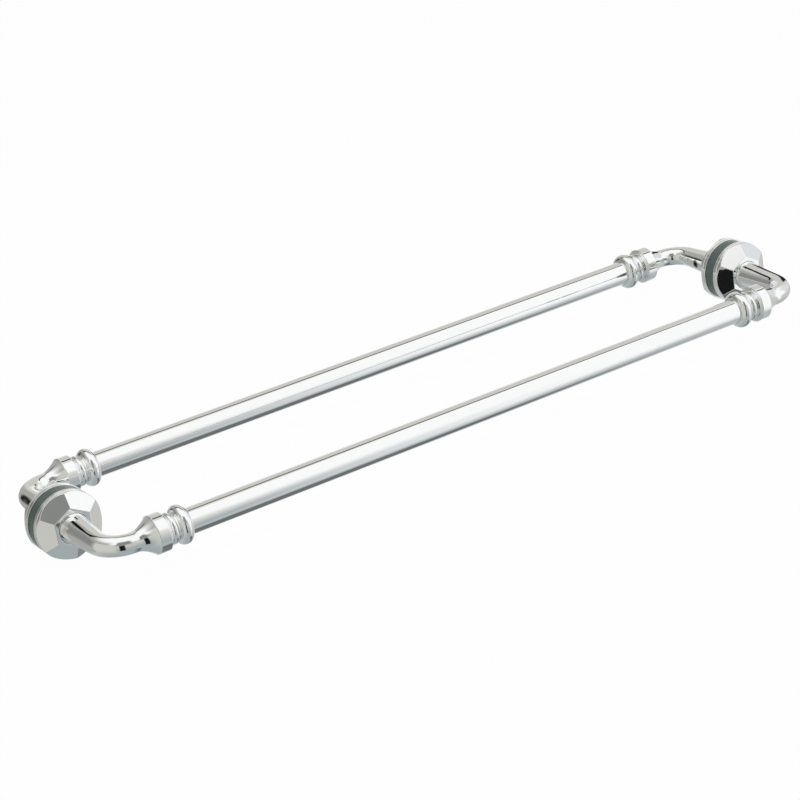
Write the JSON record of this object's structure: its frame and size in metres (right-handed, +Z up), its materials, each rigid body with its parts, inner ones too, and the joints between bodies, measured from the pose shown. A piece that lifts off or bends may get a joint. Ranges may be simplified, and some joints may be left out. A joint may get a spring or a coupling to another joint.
{
  "type": "double-sided towel bar",
  "caption": "Back-to-back towel bar: round tubes with turned beads on bent horn-shaped posts, clamped through a glass door between faceted rosettes.",
  "frame": {"origin": "half way between the two glass holes, in the middle of the clamped stack", "axes": "+X along the bars, +Y through the glass towards the rear bar, +Z up"},
  "size_m": [0.66, 0.1696, 0.05],
  "materials": {
    "chrome": "polished chrome plate",
    "vinyl": "translucent grey-green vinyl",
    "steel": "plain turned steel",
    "nylon": "natural nylon"
  },
  "bodies": {
    "root": {"front_bar_tube": "chrome", "front_left_post": "chrome", "front_left_ferrule": "chrome", "front_left_rosette": "chrome", "front_left_gasket": "vinyl", "front_right_post": "chrome", "front_right_ferrule": "chrome", "front_right_rosette": "chrome", "front_right_gasket": "vinyl", "rear_bar_tube": "chrome", "rear_left_post": "chrome", "rear_left_ferrule": "chrome", "rear_left_rosette": "chrome", "rear_left_gasket": "vinyl", "rear_right_post": "chrome", "rear_right_ferrule": "chrome", "rear_right_rosette": "chrome", "rear_right_gasket": "vinyl", "left_stud": "steel", "left_sleeve": "nylon", "left_set_screw": "steel", "right_stud": "steel", "right_sleeve": "nylon", "right_set_screw": "steel"}
  },
  "joints": []
}
